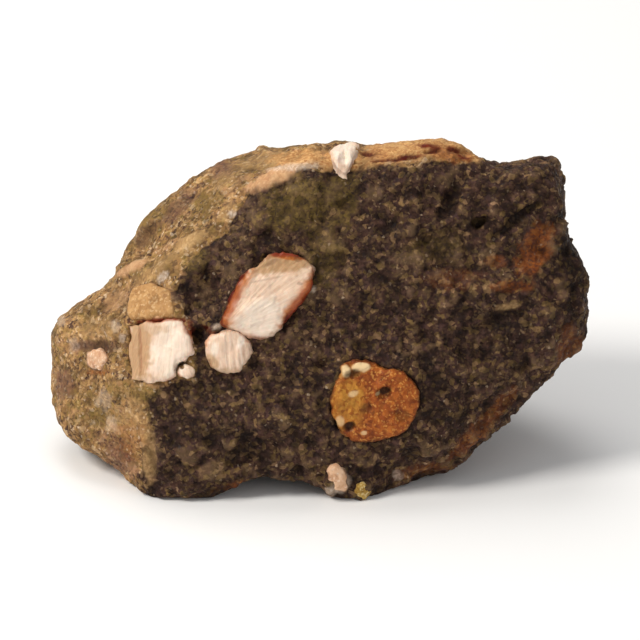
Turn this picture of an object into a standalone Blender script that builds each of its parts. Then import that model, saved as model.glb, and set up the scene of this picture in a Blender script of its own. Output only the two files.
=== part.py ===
"""Amygdaloidal basalt: a broken hand specimen of dark basalt. Its old gas bubbles are filled with
white, pink and orange minerals, the amygdales, and a few bubbles are still empty.

The stone is shaped square to its broad face, in millimetres from its middle: u runs to the right
along that face, v up it and w out of it. An empty then leans the face back and stands the stone on
its foot, so that the world has +X to the right, +Y to the back and +Z up, in metres, with its origin
under the middle of the stone.
"""

import math
from collections import namedtuple

import bmesh
import bpy
import numpy as np
from mathutils import Vector
from mathutils.bvhtree import BVHTree

# Driving dimensions, in millimetres except where they are angles
MM = 0.001
FACE_LEAN = math.radians(25)
FOOT_BELOW_MIDDLE = 22.6
SEAT_GAP = 0.3
RIM_ALLOWANCE = 0.55
SHARP_OUTLINE_FROM = 2.0
LOOSE_OUTLINE_BEHIND = -14.0
LOOSENESS = math.radians(16)
SMALL_FACET = 4.5
LARGE_FACET = 10.0
SMALL_HACKLE = 0.35
LARGE_HACKLE = 0.8

# The host rock's mesh: steps and stretch of the sphere it starts from, how often its points are
# evened out and its raw edges blunted, and the share of its faces that are kept
SPHERE_STEPS = 6
KEPT_FACES = 0.266
EVENING_PASSES = 40
BLUNTING_PASSES = 5
SPHERE_STRETCH = (1.7, 1.1, 0.9)

# A higher number makes a sharper edge where two fracture faces, or two small facets, meet
EDGE_SHARPNESS = 30
FACET_SHARPNESS = 14

# The faces that the stone broke along: the way each one faces, and a point on it
FRACTURE_FACES = {
    "broad": ((0.03, 0.03, 1.0), (5, 0, 24)),
    "broad_foot": ((0.0, -0.27, 0.96), (-8, -19, 24)),
    "left_rind": ((-0.62, -0.08, 0.78), (-30, -5, 24)),
    "upper_left_rind": ((-0.52, 0.5, 0.69), (-20, 13, 24)),
    "crest": ((-0.05, 0.95, 0.31), (15, 28.8, 24)),
    "crest_end": ((0.45, 0.88, 0.1), (29, 31.5, 5)),
    "horn_top": ((0.1, 0.98, -0.17), (40, 31, 20)),
    "horn_side": ((0.95, 0.3, -0.1), (45.5, 20, 20)),
    "right": ((0.85, 0.0, 0.52), (45.5, 3, 23)),
    "right_end": ((0.97, 0.1, -0.2), (50, 3, 10)),
    "lower_right": ((0.38, -0.6, 0.7), (22.4, -15, 24)),
    "right_underside": ((0.62, -0.7, -0.35), (38, -14, 12)),
    "left_underside": ((-0.6, -0.76, -0.25), (-40, -26, 8)),
    "left_end": ((-0.95, 0.05, 0.3), (-49, -10, 8)),
    "left_back": ((-0.8, 0.05, -0.6), (-50, -8, -4)),
    "upper_left_back": ((-0.6, 0.72, -0.35), (-26, 26, 0)),
    "crest_back": ((0.05, 0.8, -0.6), (5, 33.5, -4)),
    "back_left": ((-0.45, 0.35, -0.82), (-25, 5, -22)),
    "back_right": ((0.6, 0.25, -0.76), (30, 5, -18)),
    "back": ((0.05, 0.45, -0.89), (0, 0, -25)),
    "foot": ((0.0, -0.906, -0.423), (0, -36.2, 22)),
}

# The stone's outline square to the broad face, clockwise from its left end
OUTLINE = (
    (-50.6, -2.6), (-48.8, 0.8), (-44.2, 4.2), (-39.0, 7.4), (-37.5, 11.6), (-31.5, 20.4),
    (-24.3, 26.2), (-18.0, 29.8), (-10.8, 31.8), (-3.0, 32.5), (4.7, 33.1), (12.0, 32.4),
    (20.6, 33.8), (25.5, 33.0), (28.0, 31.4), (31.8, 29.4), (37.5, 29.7), (43.6, 31.4),
    (45.3, 29.3), (45.5, 22.0), (45.6, 15.9), (47.7, 13.3), (49.6, 9.4), (50.2, 1.9),
    (49.4, -3.6), (44.6, -8.8), (38.8, -14.8), (32.3, -21.0), (24.5, -28.0), (18.5, -29.2),
    (13.1, -31.8), (7.9, -34.4), (2.4, -33.2), (0.4, -30.2), (-5.0, -29.2), (-10.8, -28.6),
    (-14.5, -29.5), (-17.4, -32.9), (-24.0, -32.8), (-29.9, -33.1), (-33.6, -32.0), (-37.6, -27.5),
    (-44.4, -24.1), (-49.2, -20.0), (-50.4, -14.0), (-50.5, -9.4),
)

# Hollows and lumps of the broad face and the rind: where (u, v), half length, half width, the turn
# of the length in degrees, and the depth, which is negative for a lump
Dent = namedtuple("Dent", "u v length width turn depth")
DENTS = {
    "valley_beside_long_white": Dent(-20.5, 6.0, 10.0, 4.5, 60, 3.0),
    "lip_above_long_white": Dent(-7.0, 18.5, 7.0, 4.5, 10, -1.2),
    "gully_under_crest": Dent(34.0, 27.5, 11.0, 2.5, -3, 1.2),
    "upright_gully": Dent(24.3, 23.5, 6.0, 2.4, 66, 1.8),
    "gully_below_horn": Dent(38.5, 18.5, 8.5, 2.6, 33, 1.7),
    "pit_upper_right": Dent(29.5, 18.3, 2.6, 2.2, 0, 1.2),
    "pit_upper_middle": Dent(20.0, 15.0, 2.6, 2.2, 20, 1.2),
    "pit_beside_orange": Dent(0.4, -7.9, 3.0, 2.4, 80, 1.3),
    "pit_above_orange": Dent(10.3, -4.7, 2.8, 2.0, 30, 1.0),
    "step_right": Dent(31.8, -4.5, 8.0, 2.6, 17, 1.5),
    "swell_right": Dent(31.0, 5.5, 12.0, 5.0, 5, -1.1),
    "swell_middle": Dent(14.0, 8.0, 9.0, 5.0, -20, -0.8),
    "swell_lower_left": Dent(-7.0, -17.5, 8.0, 5.0, 15, -1.1),
    "swell_lower_right": Dent(34.0, -11.5, 8.0, 3.0, 25, -0.9),
    "gully_below_fibrous": Dent(-25.0, -12.6, 5.5, 2.2, 8, 1.3),
    "hollow_over_arch": Dent(-12.5, -25.0, 7.0, 4.0, 20, 2.0),
    "hollow_beside_foot": Dent(16.0, -27.0, 6.0, 3.0, 10, 1.4),
    "gully_on_rind": Dent(-37.2, 0.5, 6.5, 2.0, 90, 1.2),
    "pit_on_rind": Dent(-43.5, -0.4, 2.6, 2.2, 40, 1.2),
    "step_on_rind": Dent(-43.0, -4.3, 6.0, 1.8, 2, 1.0),
    "rib_on_rind": Dent(-24.0, 15.0, 14.0, 2.6, 43, -1.5),
    "trough_on_rind": Dent(-29.0, 17.5, 11.0, 3.0, 48, 1.2),
    "pink_streak": Dent(-9.0, 27.0, 6.0, 2.0, 25, -0.9),
}

# Bubbles that are still empty: where (u, v), radius, and how deep the bubble's middle lies
Bubble = namedtuple("Bubble", "u v radius sunk")
EMPTY_BUBBLES = {
    "bubble_beside_round_white": Bubble(-21.9, -2.7, 2.5, 0.6),
    "bubble_upper_right": Bubble(29.3, 18.3, 1.2, -0.3),
    "bubble_upper_middle": Bubble(20.0, 15.0, 1.1, -0.4),
    "bubble_beside_orange": Bubble(0.4, -7.9, 1.4, -0.2),
    "bubble_on_rind": Bubble(-42.2, -0.9, 1.2, -0.2),
}


def oval(half_length, half_width, turn=0, points=12, lumpiness=0.04):
    """A slightly lumpy oval outline round (0, 0), its length turned by some degrees."""
    outline = []
    for step in range(points):
        angle = 2 * math.pi * step / points
        swell = 1 + lumpiness * math.sin(3 * angle + turn) + lumpiness * math.cos(5 * angle)
        along = half_length * swell * math.cos(angle)
        across = half_width * swell * math.sin(angle)
        cosine, sine = math.cos(math.radians(turn)), math.sin(math.radians(turn))
        outline.append((along * cosine - across * sine, along * sine + across * cosine))
    return tuple(outline)


# The minerals
Mineral = namedtuple("Mineral", "colour roughness")
MINERALS = {
    "basalt": Mineral((0.060, 0.042, 0.034), 0.85),
    "white": Mineral((0.80, 0.66, 0.56), 0.35),
    "cream": Mineral((0.88, 0.76, 0.62), 0.45),
    "tan": Mineral((0.58, 0.38, 0.20), 0.6),
    "pink": Mineral((0.70, 0.44, 0.30), 0.45),
    "orange": Mineral((0.30, 0.10, 0.03), 0.7),
    "yellow": Mineral((0.45, 0.30, 0.10), 0.6),
}

# An amygdale: the middle of its outline (u, v, w), the face it lies in, that outline square to the
# face, how far it stands proud at its rim and at its crown, its depth, and its mineral
Amygdale = namedtuple("Amygdale", "middle face outline rim crown depth mineral")

LONG_WHITE = (
    (-2.6, 4.9), (-0.3, 6.3), (1.5, 7.5), (3.8, 7.8), (6.4, 7.5), (8.1, 6.7), (9.2, 5.2),
    (9.0, 3.0), (8.6, 1.1), (7.1, -1.1), (5.3, -2.6), (4.1, -4.1), (3.2, -5.8), (1.7, -7.1),
    (-0.3, -7.7), (-2.8, -7.7), (-4.3, -6.6), (-6.3, -5.8), (-7.8, -5.2), (-6.9, -3.2),
    (-6.1, -0.9), (-4.8, 1.5), (-3.7, 3.4),
)
FIBROUS_WHITE = (
    (-5.4, 4.7), (-1.9, 5.1), (1.8, 5.6), (4.1, 5.4), (5.2, 3.6), (5.8, 1.7), (6.2, 0.0),
    (5.2, -0.9), (4.8, -2.1), (3.3, -2.4), (3.0, -3.7), (1.5, -5.0), (-1.5, -5.6), (-4.9, -5.2),
    (-5.6, -0.7),
)
TAN = (
    (-4.0, -2.7), (-4.2, 0.4), (-3.5, 2.3), (-1.2, 3.1), (0.8, 3.1), (2.9, 2.3), (3.8, 0.3),
    (4.0, -1.8), (3.4, -2.7), (-0.3, -2.6),
)
ORANGE = (
    (-8.0, 0.2), (-7.5, 2.6), (-6.7, 4.7), (-5.8, 6.7), (-3.7, 7.7), (-1.5, 7.3), (0.7, 6.2),
    (3.0, 5.8), (5.2, 5.2), (6.7, 3.7), (7.5, 1.7), (7.7, -0.6), (6.9, -2.8), (5.4, -4.9),
    (3.2, -6.2), (0.7, -6.7), (-1.9, -7.1), (-4.5, -6.7), (-6.2, -5.2), (-7.3, -3.2), (-8.0, -1.5),
)

ROUND_WHITE = oval(4.0, 3.75, 0, 16)
GRAIN = oval(1.4, 1.1, 10, 8)
PINK = oval(1.8, 1.7, 0, 10)
CREST_WHITE = oval(4.6, 2.2, 85)
FOOT_WHITE = oval(2.4, 1.5, -62, 10)
FOOT_YELLOW = oval(1.3, 1.1, 0, 8)
BACK_WHITE = oval(4.2, 3.0, 30)
BACK_ORANGE = oval(3.6, 3.2, 0)
SIDE_WHITE = oval(2.6, 2.0, 50, 10)

AMYGDALES = {
    "long_white_amygdale": Amygdale((-10.5, 4.5, 0), "view", LONG_WHITE, 1.0, 1.9, 3.6, "white"),
    "round_white_amygdale": Amygdale((-16.9, -5.7, 0), "view", ROUND_WHITE, 0.7, 2.0, 3.2, "white"),
    "fibrous_white_amygdale": Amygdale((-29.9, -5.8, 0), "view", FIBROUS_WHITE, 0.4, 1.3, 3.4, "white"),
    "tan_amygdale": Amygdale((-31.3, 3.3, 0), "view", TAN, 0.2, 0.7, 2.6, "tan"),
    "white_grain_amygdale": Amygdale((-24.8, -9.4, 0), "view", GRAIN, 0.4, 0.9, 1.4, "cream"),
    "pink_amygdale": Amygdale((-41.6, -7.3, 0), "view", PINK, 0.3, 0.7, 1.6, "pink"),
    "orange_amygdale": Amygdale((10.3, -15.3, 0), "view", ORANGE, 0.3, 1.1, 4.5, "orange"),
    "crest_white_amygdale": Amygdale((4.6, 30, 18.5), "crest", CREST_WHITE, 0.5, 1.4, 2.6, "cream"),
    "foot_white_amygdale": Amygdale((3.3, -29.2, 0), "view", FOOT_WHITE, 0.4, 0.9, 1.8, "pink"),
    "foot_yellow_amygdale": Amygdale((8.0, -31.6, 0), "view", FOOT_YELLOW, 0.3, 0.6, 1.4, "yellow"),
    "back_white_amygdale": Amygdale((-12, 8, -25), "back", BACK_WHITE, 0.4, 1.1, 2.8, "white"),
    "back_orange_amygdale": Amygdale((17, -6, -25), "back", BACK_ORANGE, 0.3, 0.9, 2.6, "orange"),
    "side_white_amygdale": Amygdale((44, 6, -8), "back_right", SIDE_WHITE, 0.3, 0.9, 2.0, "white"),
}

# The cross-section of an amygdale, from the bottom of its bubble to its crown: the share of the
# outline, then the share of the depth, or of the way from the rim to the crown
BUBBLE_RINGS = ((0.45, 1.0), (0.82, 0.75), (1.0, 0.25))
DOME_RINGS = ((0.88, 0.55), (0.55, 0.9))
POCKET_MOUTH = 7.0
VIEW = np.array([0.0, 0.0, 1.0])
CLEAR_OF_STONE = 60.0


def unit(vector):
    return np.array(vector, float) / np.linalg.norm(vector)


def reach(directions):
    """How far the stone reaches from its middle in each direction, up to the nearest fracture face."""
    closeness = np.zeros(len(directions))
    for facing, point in FRACTURE_FACES.values():
        normal = unit(facing)
        distance = normal @ np.array(point, float)
        closeness += np.clip(directions @ normal / distance, 0, None) ** EDGE_SHARPNESS
    return closeness ** (-1 / EDGE_SHARPNESS)


def hackle(points, facet, seed):
    """Relief of about -1 to 1: flat facets of the given size, each tilted its own way."""
    random = np.random.default_rng(seed)
    low = points.min(axis=0) - 2 * facet
    counts = np.ceil((points.max(axis=0) - low) / facet).astype(int) + 3
    cells = np.indices(counts).reshape(3, -1).T
    middles = low + (cells + random.random(cells.shape)) * facet
    heights = random.uniform(-1, 1, len(cells))
    slopes = random.uniform(-1, 1, cells.shape) / facet
    home = ((points - low) / facet).astype(int)
    relief = np.zeros(len(points))
    weights = np.zeros(len(points))
    for step in np.ndindex(3, 3, 3):
        cell = np.ravel_multi_index((home + step - 1).T, counts)
        offset = points - middles[cell]
        weight = np.exp(-FACET_SHARPNESS * (offset ** 2).sum(axis=1) / facet ** 2)
        relief += weight * (heights[cell] + (offset * slopes[cell]).sum(axis=1))
        weights += weight
    return relief / weights


def dent_depth(points):
    """How deep the named hollows lie below each point, seen square to the broad face."""
    depth = np.zeros(len(points))
    for dent in DENTS.values():
        turn = math.radians(dent.turn)
        across = points[:, :2] - (dent.u, dent.v)
        along = across @ (math.cos(turn), math.sin(turn)) / dent.length
        aside = across @ (-math.sin(turn), math.cos(turn)) / dent.width
        depth += dent.depth * np.clip(1 - along ** 2 - aside ** 2, 0, 1) ** 1.5
    return depth


def outline_radius(angles):
    """How far the outline lies from the stone's middle at each angle round the broad face."""
    outline = np.array(OUTLINE)
    shares = np.linspace(0, 1, 12, endpoint=False)[:, None]
    sides = zip(outline, np.roll(outline, -1, axis=0))
    points = np.concatenate([start + (end - start) * shares for start, end in sides])
    around = np.arctan2(points[:, 1], points[:, 0])
    order = np.argsort(around)
    radii = np.hypot(*points[order].T) + RIM_ALLOWANCE
    return np.interp(angles, around[order], radii, period=2 * math.pi)


def looser_outline(points, angles):
    """How much smaller the stone grows towards the back, where its outline is followed loosely."""
    turns = np.linspace(-LOOSENESS, LOOSENESS, 9)
    loose = np.mean([outline_radius(angles + turn) for turn in turns], axis=0)
    depth = SHARP_OUTLINE_FROM - LOOSE_OUTLINE_BEHIND
    looseness = np.clip((SHARP_OUTLINE_FROM - points[:, 2]) / depth, 0, 1)
    return 1 + np.minimum(loose / outline_radius(angles) - 1, 0) * looseness


def fit_to_outline(points, power):
    """Draws the stone's rim in or out to its outline, and the rest less the nearer the middle it is."""
    angles = np.arctan2(points[:, 1], points[:, 0])
    radii = np.hypot(points[:, 0], points[:, 1])
    sectors = 180
    sector = ((angles + math.pi) / (2 * math.pi) * sectors).astype(int) % sectors
    rim = np.array([radii[sector == each].max() for each in range(sectors)])
    sector_angles = (np.arange(sectors) + 0.5) / sectors * 2 * math.pi - math.pi
    stretch = outline_radius(sector_angles) / rim
    stretch = (np.roll(stretch, 1) + stretch + np.roll(stretch, -1)) / 3
    rim_here = np.interp(angles, sector_angles, rim, period=2 * math.pi)
    stretch_here = np.interp(angles, sector_angles, stretch, period=2 * math.pi)
    share = np.clip(radii / rim_here, 0, 1) ** power
    factor = 1 + (stretch_here - 1) * share
    return points * np.stack([factor, factor, np.ones_like(factor)], axis=1)


def new_object(name, builder, lean):
    """Makes an object of a bmesh drawn in millimetres, and hangs it on the empty that leans it."""
    bmesh.ops.scale(builder, vec=(MM, MM, MM), verts=builder.verts)
    mesh = bpy.data.meshes.new(name)
    builder.to_mesh(mesh)
    builder.free()
    made = bpy.data.objects.new(name, mesh)
    made.parent = lean
    bpy.context.scene.collection.objects.link(made)
    return made


def add_material(piece, mineral):
    material = bpy.data.materials.new(piece.name)
    material.use_nodes = True
    shader = material.node_tree.nodes["Principled BSDF"]
    shader.inputs["Base Color"].default_value = (*MINERALS[mineral].colour, 1)
    shader.inputs["Roughness"].default_value = MINERALS[mineral].roughness
    piece.data.materials.append(material)


def cut_from(piece, cutter):
    """Cuts one object out of another, and leaves the cutter as a wire guide."""
    cutter.hide_render = True
    cutter.display_type = "WIRE"
    cut = piece.modifiers.new(cutter.name, "BOOLEAN")
    cut.operation = "DIFFERENCE"
    cut.solver = "EXACT"
    cut.object = cutter


def place(builder, points):
    for vertex, point in zip(builder.verts, points):
        vertex.co = point


def smooth(builder):
    """One pass that draws each point halfway to the middle of its neighbours."""
    bmesh.ops.smooth_vert(
        builder, verts=builder.verts, factor=0.5, use_axis_x=True, use_axis_y=True, use_axis_z=True
    )
    return np.array([vertex.co for vertex in builder.verts])


def make_block(builder):
    """The plain block between the fracture faces, its points evenly spread and its edges blunt."""
    bmesh.ops.create_icosphere(builder, subdivisions=SPHERE_STEPS, radius=1)
    points = np.array([vertex.co for vertex in builder.verts]) * SPHERE_STRETCH
    for _ in range(EVENING_PASSES):
        directions = points / np.linalg.norm(points, axis=1)[:, None]
        place(builder, directions * reach(directions)[:, None])
        points = smooth(builder)
    points = fit_to_outline(points, 2)
    looser = looser_outline(points, np.arctan2(points[:, 1], points[:, 0]))
    place(builder, points * np.stack([looser, looser, np.ones_like(looser)], axis=1))
    for _ in range(BLUNTING_PASSES):
        points = smooth(builder)
    builder.normal_update()
    return points


def make_host_rock(lean):
    """The basalt before its bubbles are cut: the block, then its facets, hollows and outline."""
    builder = bmesh.new()
    points = make_block(builder)
    normals = np.array([vertex.normal for vertex in builder.verts])
    relief = LARGE_HACKLE * hackle(points, LARGE_FACET, 3)
    relief += SMALL_HACKLE * hackle(points, SMALL_FACET, 8)
    points += normals * relief[:, None]
    faces_out = np.clip(normals[:, 2] / 0.4, 0, 1)
    points[:, 2] -= dent_depth(points) * faces_out
    place(builder, fit_to_outline(points, 4))
    rock = new_object("basalt", builder, lean)
    thinner = rock.modifiers.new("thinner", "DECIMATE")
    thinner.ratio = KEPT_FACES
    add_material(rock, "basalt")
    return rock


def cut_foot(rock, lean):
    """Cuts the stone off flat where it stands: a block whose top lies level, under the middle."""
    half = 80.0
    builder = bmesh.new()
    bmesh.ops.create_cube(builder, size=2 * half)
    block = new_object("foot_cut", builder, lean)
    block.rotation_euler.x = FACE_LEAN - math.pi / 2
    down = Vector((0, -math.cos(FACE_LEAN), -math.sin(FACE_LEAN)))
    block.location = down * (FOOT_BELOW_MIDDLE + half) * MM
    cut_from(rock, block)


def find_surface(surface, start, way):
    """The point of the stone that a ray meets, in millimetres, or None if it misses."""
    hit = surface.ray_cast(Vector(start) * MM, Vector(way))[0]
    return None if hit is None else np.array(hit) / MM


class Seat:
    """Where an amygdale lies: the rim of its bubble on the stone's surface, and the way it faces."""

    def __init__(self, surface, amygdale):
        look = VIEW if amygdale.face == "view" else unit(FRACTURE_FACES[amygdale.face][0])
        right = unit(np.cross((0, 1, 0), look))
        up = np.cross(look, right)
        places = [np.array(amygdale.middle) + right * a + up * b for a, b in amygdale.outline]
        hits = [find_surface(surface, place + look * CLEAR_OF_STONE, -look) for place in places]
        self.rim = np.array(hits)
        self.middle = self.rim.mean(axis=0)
        spokes = self.rim - self.middle
        turn = np.cross(spokes, np.roll(spokes, -1, axis=0)).sum(axis=0)
        self.out = unit(turn) * np.sign(turn @ look)
        sides = np.roll(self.rim, -1, axis=0) - np.roll(self.rim, 1, axis=0)
        outward = np.cross(sides, unit(turn))
        self.outward = outward / np.linalg.norm(outward, axis=1)[:, None]

    def ring(self, share, level, gap=0.0):
        """The rim drawn in to a share of its size and moved to a level, with a gap added all round."""
        return self.middle + (self.rim - self.middle) * share + self.outward * gap + self.out * level

    def flat_ring(self, share, level):
        """The same, but level all round instead of following the stone's surface."""
        ring = self.ring(share, 0)
        rises = (ring - self.middle) @ self.out
        return ring + self.out * (level - rises)[:, None]


def ring_solid(name, rings, lean):
    """A closed solid through a stack of rings, closed at both ends to the middle of the end ring."""
    builder = bmesh.new()
    rows = [[builder.verts.new(point) for point in ring] for ring in rings]
    count = len(rows[0])
    for lower, upper in zip(rows, rows[1:]):
        for i in range(count):
            j = (i + 1) % count
            builder.faces.new((lower[i], lower[j], upper[j], upper[i]))
    for row in (rows[0], rows[-1]):
        middle = sum((vertex.co for vertex in row), Vector()) / count
        tip = builder.verts.new(middle)
        for i in range(count):
            builder.faces.new((row[i], row[(i + 1) % count], tip))
    bmesh.ops.recalc_face_normals(builder, faces=builder.faces)
    return new_object(name, builder, lean)


def make_amygdale(name, amygdale, rock, surface, lean):
    """The mineral that fills one bubble, and the pocket that the bubble left in the stone."""
    seat = Seat(surface, amygdale)
    rings = [seat.ring(share, -depth * amygdale.depth) for share, depth in BUBBLE_RINGS]
    rings.append(seat.ring(1, amygdale.rim))
    for share, height in DOME_RINGS:
        rings.append(seat.ring(share, amygdale.rim + height * (amygdale.crown - amygdale.rim)))
    filling = ring_solid(name, rings, lean)
    filling.data.shade_smooth()
    add_material(filling, amygdale.mineral)

    hollow = []
    for share, depth in BUBBLE_RINGS:
        hollow.append(seat.ring(share, -depth * amygdale.depth - SEAT_GAP, SEAT_GAP))
    hollow.append(seat.ring(1, 0.3 * amygdale.rim, SEAT_GAP))
    hollow.append(seat.flat_ring(1.1, POCKET_MOUTH))
    cut_from(rock, ring_solid(name + "_pocket", hollow, lean))


def cut_empty_bubbles(rock, surface, lean):
    """The bubbles that no mineral filled: round hollows in the broad face and the rind."""
    for name, bubble in EMPTY_BUBBLES.items():
        mouth = find_surface(surface, (bubble.u, bubble.v, CLEAR_OF_STONE), -VIEW)
        builder = bmesh.new()
        bmesh.ops.create_icosphere(builder, subdivisions=2, radius=bubble.radius)
        bmesh.ops.translate(builder, vec=mouth - (0, 0, bubble.sunk), verts=builder.verts)
        cut_from(rock, new_object(name, builder, lean))


def stand_over_origin(lean):
    """Moves the whole stone so that the middle of its width and depth is over the origin."""
    bpy.context.view_layer.update()
    scene_now = bpy.context.evaluated_depsgraph_get()
    corners = []
    for piece in lean.children:
        if not piece.hide_render:
            now = piece.evaluated_get(scene_now)
            corners += [now.matrix_world @ vertex.co for vertex in now.data.vertices]
    corners = np.array(corners)
    low, high = corners.min(axis=0), corners.max(axis=0)
    lean.location -= Vector(((low[0] + high[0]) / 2, (low[1] + high[1]) / 2, 0))


def main():
    for old in list(bpy.data.objects):
        bpy.data.objects.remove(old)
    lean = bpy.data.objects.new("lean", None)
    lean.rotation_euler.x = math.pi / 2 - FACE_LEAN
    lean.location.z = FOOT_BELOW_MIDDLE * MM
    bpy.context.scene.collection.objects.link(lean)

    rock = make_host_rock(lean)
    bpy.context.view_layer.update()
    surface = BVHTree.FromObject(rock, bpy.context.evaluated_depsgraph_get())
    cut_foot(rock, lean)
    for name, amygdale in AMYGDALES.items():
        make_amygdale(name, amygdale, rock, surface, lean)
    cut_empty_bubbles(rock, surface, lean)
    stand_over_origin(lean)


main()
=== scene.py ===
"""The looks of the amygdaloidal basalt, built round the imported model.

Marks are placed by their pixel in the photograph's 640 x 640 frame. A pixel stands for a place on the
broad face: u to the right along that face, v up it and w out of it, in millimetres from its middle.
"""

import math
from collections import namedtuple

import bmesh
import bpy
import numpy as np
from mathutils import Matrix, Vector


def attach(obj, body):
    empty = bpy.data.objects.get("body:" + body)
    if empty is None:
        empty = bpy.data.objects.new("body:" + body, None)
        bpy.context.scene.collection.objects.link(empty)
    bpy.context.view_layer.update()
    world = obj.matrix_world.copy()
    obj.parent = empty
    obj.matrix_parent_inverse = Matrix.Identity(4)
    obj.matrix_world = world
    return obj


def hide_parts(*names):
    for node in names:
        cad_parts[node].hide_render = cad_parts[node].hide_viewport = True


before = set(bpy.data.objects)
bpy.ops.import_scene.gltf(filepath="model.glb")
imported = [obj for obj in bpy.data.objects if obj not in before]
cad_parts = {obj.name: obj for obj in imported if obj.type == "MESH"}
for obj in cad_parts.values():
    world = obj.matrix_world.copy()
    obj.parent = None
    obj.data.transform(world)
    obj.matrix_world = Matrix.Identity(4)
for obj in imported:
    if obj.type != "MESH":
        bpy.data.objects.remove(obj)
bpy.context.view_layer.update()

# One millimetre in metres, one pixel of the photograph in millimetres, and the pixel of its middle
MM = 0.001
PIXEL = 0.187
PHOTO_MIDDLE = 320

# The broad face leans back by this angle, and the camera looks square at its middle
FACE_LEAN = math.radians(25)
FACE_MIDDLE = np.array((0.30, 3.89, 22.6))
FACE_OUTWARD = np.array((0, -math.cos(FACE_LEAN), math.sin(FACE_LEAN)))

# The faces of the rock's mesh, in millimetres, and how often the meshes are smoothed
ROCK_VOXEL = 0.53
ROCK_SMOOTHINGS = 3
FILLING_SMOOTHINGS = 2

# How far each filling's copy in the rock is grown and sunk, in millimetres
PLUG_GROWN = 0.4
PLUG_SUNK = 0.9

# Points of one solid that are closer than this, in metres, are welded
WELD = 1e-6

# Smooth noise stays within about 0.45, and this gain lets it fill -1 to 1
WAVE_GAIN = 2.2
FACET_SHARPNESS = 14

# Marks fade in between these two values of w, so that none shows behind the broad face
MARK_RANGE = (-4, 3)

# How far apart the coarse and the fine raggedness of a mark's edge repeat, in millimetres, and how
# strong the fine one is beside the coarse one
RAGGED_COARSE = 1.6
RAGGED_FINE = 0.7
RAGGED_FINE_SHARE = 0.6


# Places and random fields

def to_face(points):
    """Points of the world, in millimetres, as u, v and w of the broad face."""
    x, y, z = (points - FACE_MIDDLE).T
    sine, cosine = math.sin(FACE_LEAN), math.cos(FACE_LEAN)
    return np.stack([x, y * sine + z * cosine, z * sine - y * cosine], axis=1)


def to_world_way(way):
    """A direction of the broad face's frame, as one of the world of length 1."""
    u, v, w = way
    sine, cosine = math.sin(FACE_LEAN), math.cos(FACE_LEAN)
    return Vector((u, v * sine - w * cosine, v * cosine + w * sine)).normalized()


def from_pixel(x, y):
    """The u and v of a pixel."""
    return np.array(((x - PHOTO_MIDDLE) * PIXEL, (PHOTO_MIDDLE - y) * PIXEL))


def step(low, high, values):
    """0 on the side of low, 1 on the side of high, and smooth between them. Low may be the larger."""
    share = np.clip((values - low) / (high - low), 0, 1)
    return share * share * (3 - 2 * share)


def scatter(cells, seed, count):
    """Random numbers from 0 to 1 for each cell of a grid, mixed from its place and the seed alone."""
    primes = np.array((0x8DA6B343, 0xD8163841, 0xCB1AB31F), np.uint32)
    key = (cells.astype(np.int64).astype(np.uint32) * primes).sum(axis=1, dtype=np.uint32)
    key = key + np.uint32(seed * 0x9E3779B1 % 2 ** 32)
    numbers = []
    for _ in range(count):
        key = (key ^ (key >> 16)) * np.uint32(0x7FEB352D)
        key = (key ^ (key >> 15)) * np.uint32(0x846CA68B)
        key = key ^ (key >> 16)
        numbers.append(key / 2 ** 32)
    return np.stack(numbers, axis=1)


def waves(points, size, seed):
    """Smooth random relief of about -1 to 1, with humps of about the given size."""
    scaled = points / size
    home = np.floor(scaled)
    inside = scaled - home
    fade = inside ** 3 * (inside * (inside * 6 - 15) + 10)
    relief = np.zeros(len(points))
    for corner in np.ndindex(2, 2, 2):
        slopes = scatter(home + corner, seed, 3) * 2 - 1
        weight = np.prod(np.where(corner, fade, 1 - fade), axis=1)
        relief += weight * ((inside - corner) * slopes).sum(axis=1)
    return np.clip(relief * WAVE_GAIN, -1, 1)


def cells(points, size, seed):
    """The distance, in cell sizes, to the nearest of some scattered middles, and the random number from
    0 to 1 that it owns."""
    scaled = points / size
    home = np.floor(scaled)
    nearest = np.full(len(points), np.inf)
    owned = np.zeros(len(points))
    for corner in np.ndindex(3, 3, 3):
        cell = home + corner - 1
        numbers = scatter(cell, seed, 4)
        away = np.linalg.norm(scaled - cell - numbers[:, :3], axis=1)
        closer = away < nearest
        nearest = np.where(closer, away, nearest)
        owned[closer] = numbers[closer, 3]
    return nearest, owned


def facets(points, size, seed):
    """Relief of about -1 to 1 made of flat facets, each tilted its own way."""
    scaled = points / size
    home = np.floor(scaled)
    relief = np.zeros(len(points))
    weights = np.zeros(len(points))
    for corner in np.ndindex(3, 3, 3):
        cell = home + corner - 1
        numbers = scatter(cell, seed, 7)
        offset = scaled - cell - numbers[:, :3]
        tilt = (offset * (numbers[:, 4:] * 2 - 1)).sum(axis=1)
        weight = np.exp(-FACET_SHARPNESS * (offset ** 2).sum(axis=1))
        relief += weight * (numbers[:, 3] * 2 - 1 + tilt)
        weights += weight
    return relief / weights


# One sort of fine relief: the function that makes it, the size of its humps or facets and its depth in
# millimetres, and its seed
Relief = namedtuple("Relief", "kind size depth seed")


def raised(points, reliefs):
    """What several sorts of relief come to at each point, in millimetres."""
    return sum(each.kind(points, each.size, each.seed) * each.depth for each in reliefs)


# Meshes

def plug(builder, node):
    """Adds a filling to the rock, a little larger and deeper, so that no gap is left round it."""
    first = len(builder.verts)
    builder.from_mesh(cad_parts[node].data)
    builder.verts.ensure_lookup_table()
    bmesh.ops.remove_doubles(builder, verts=builder.verts[first:], dist=WELD)
    builder.normal_update()
    sunk = to_world_way(SIDE_FACINGS.get(node, (0, 0, 1))) * PLUG_SUNK * MM
    for vertex in list(builder.verts)[first:]:
        vertex.co += vertex.normal * PLUG_GROWN * MM - sunk


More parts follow.
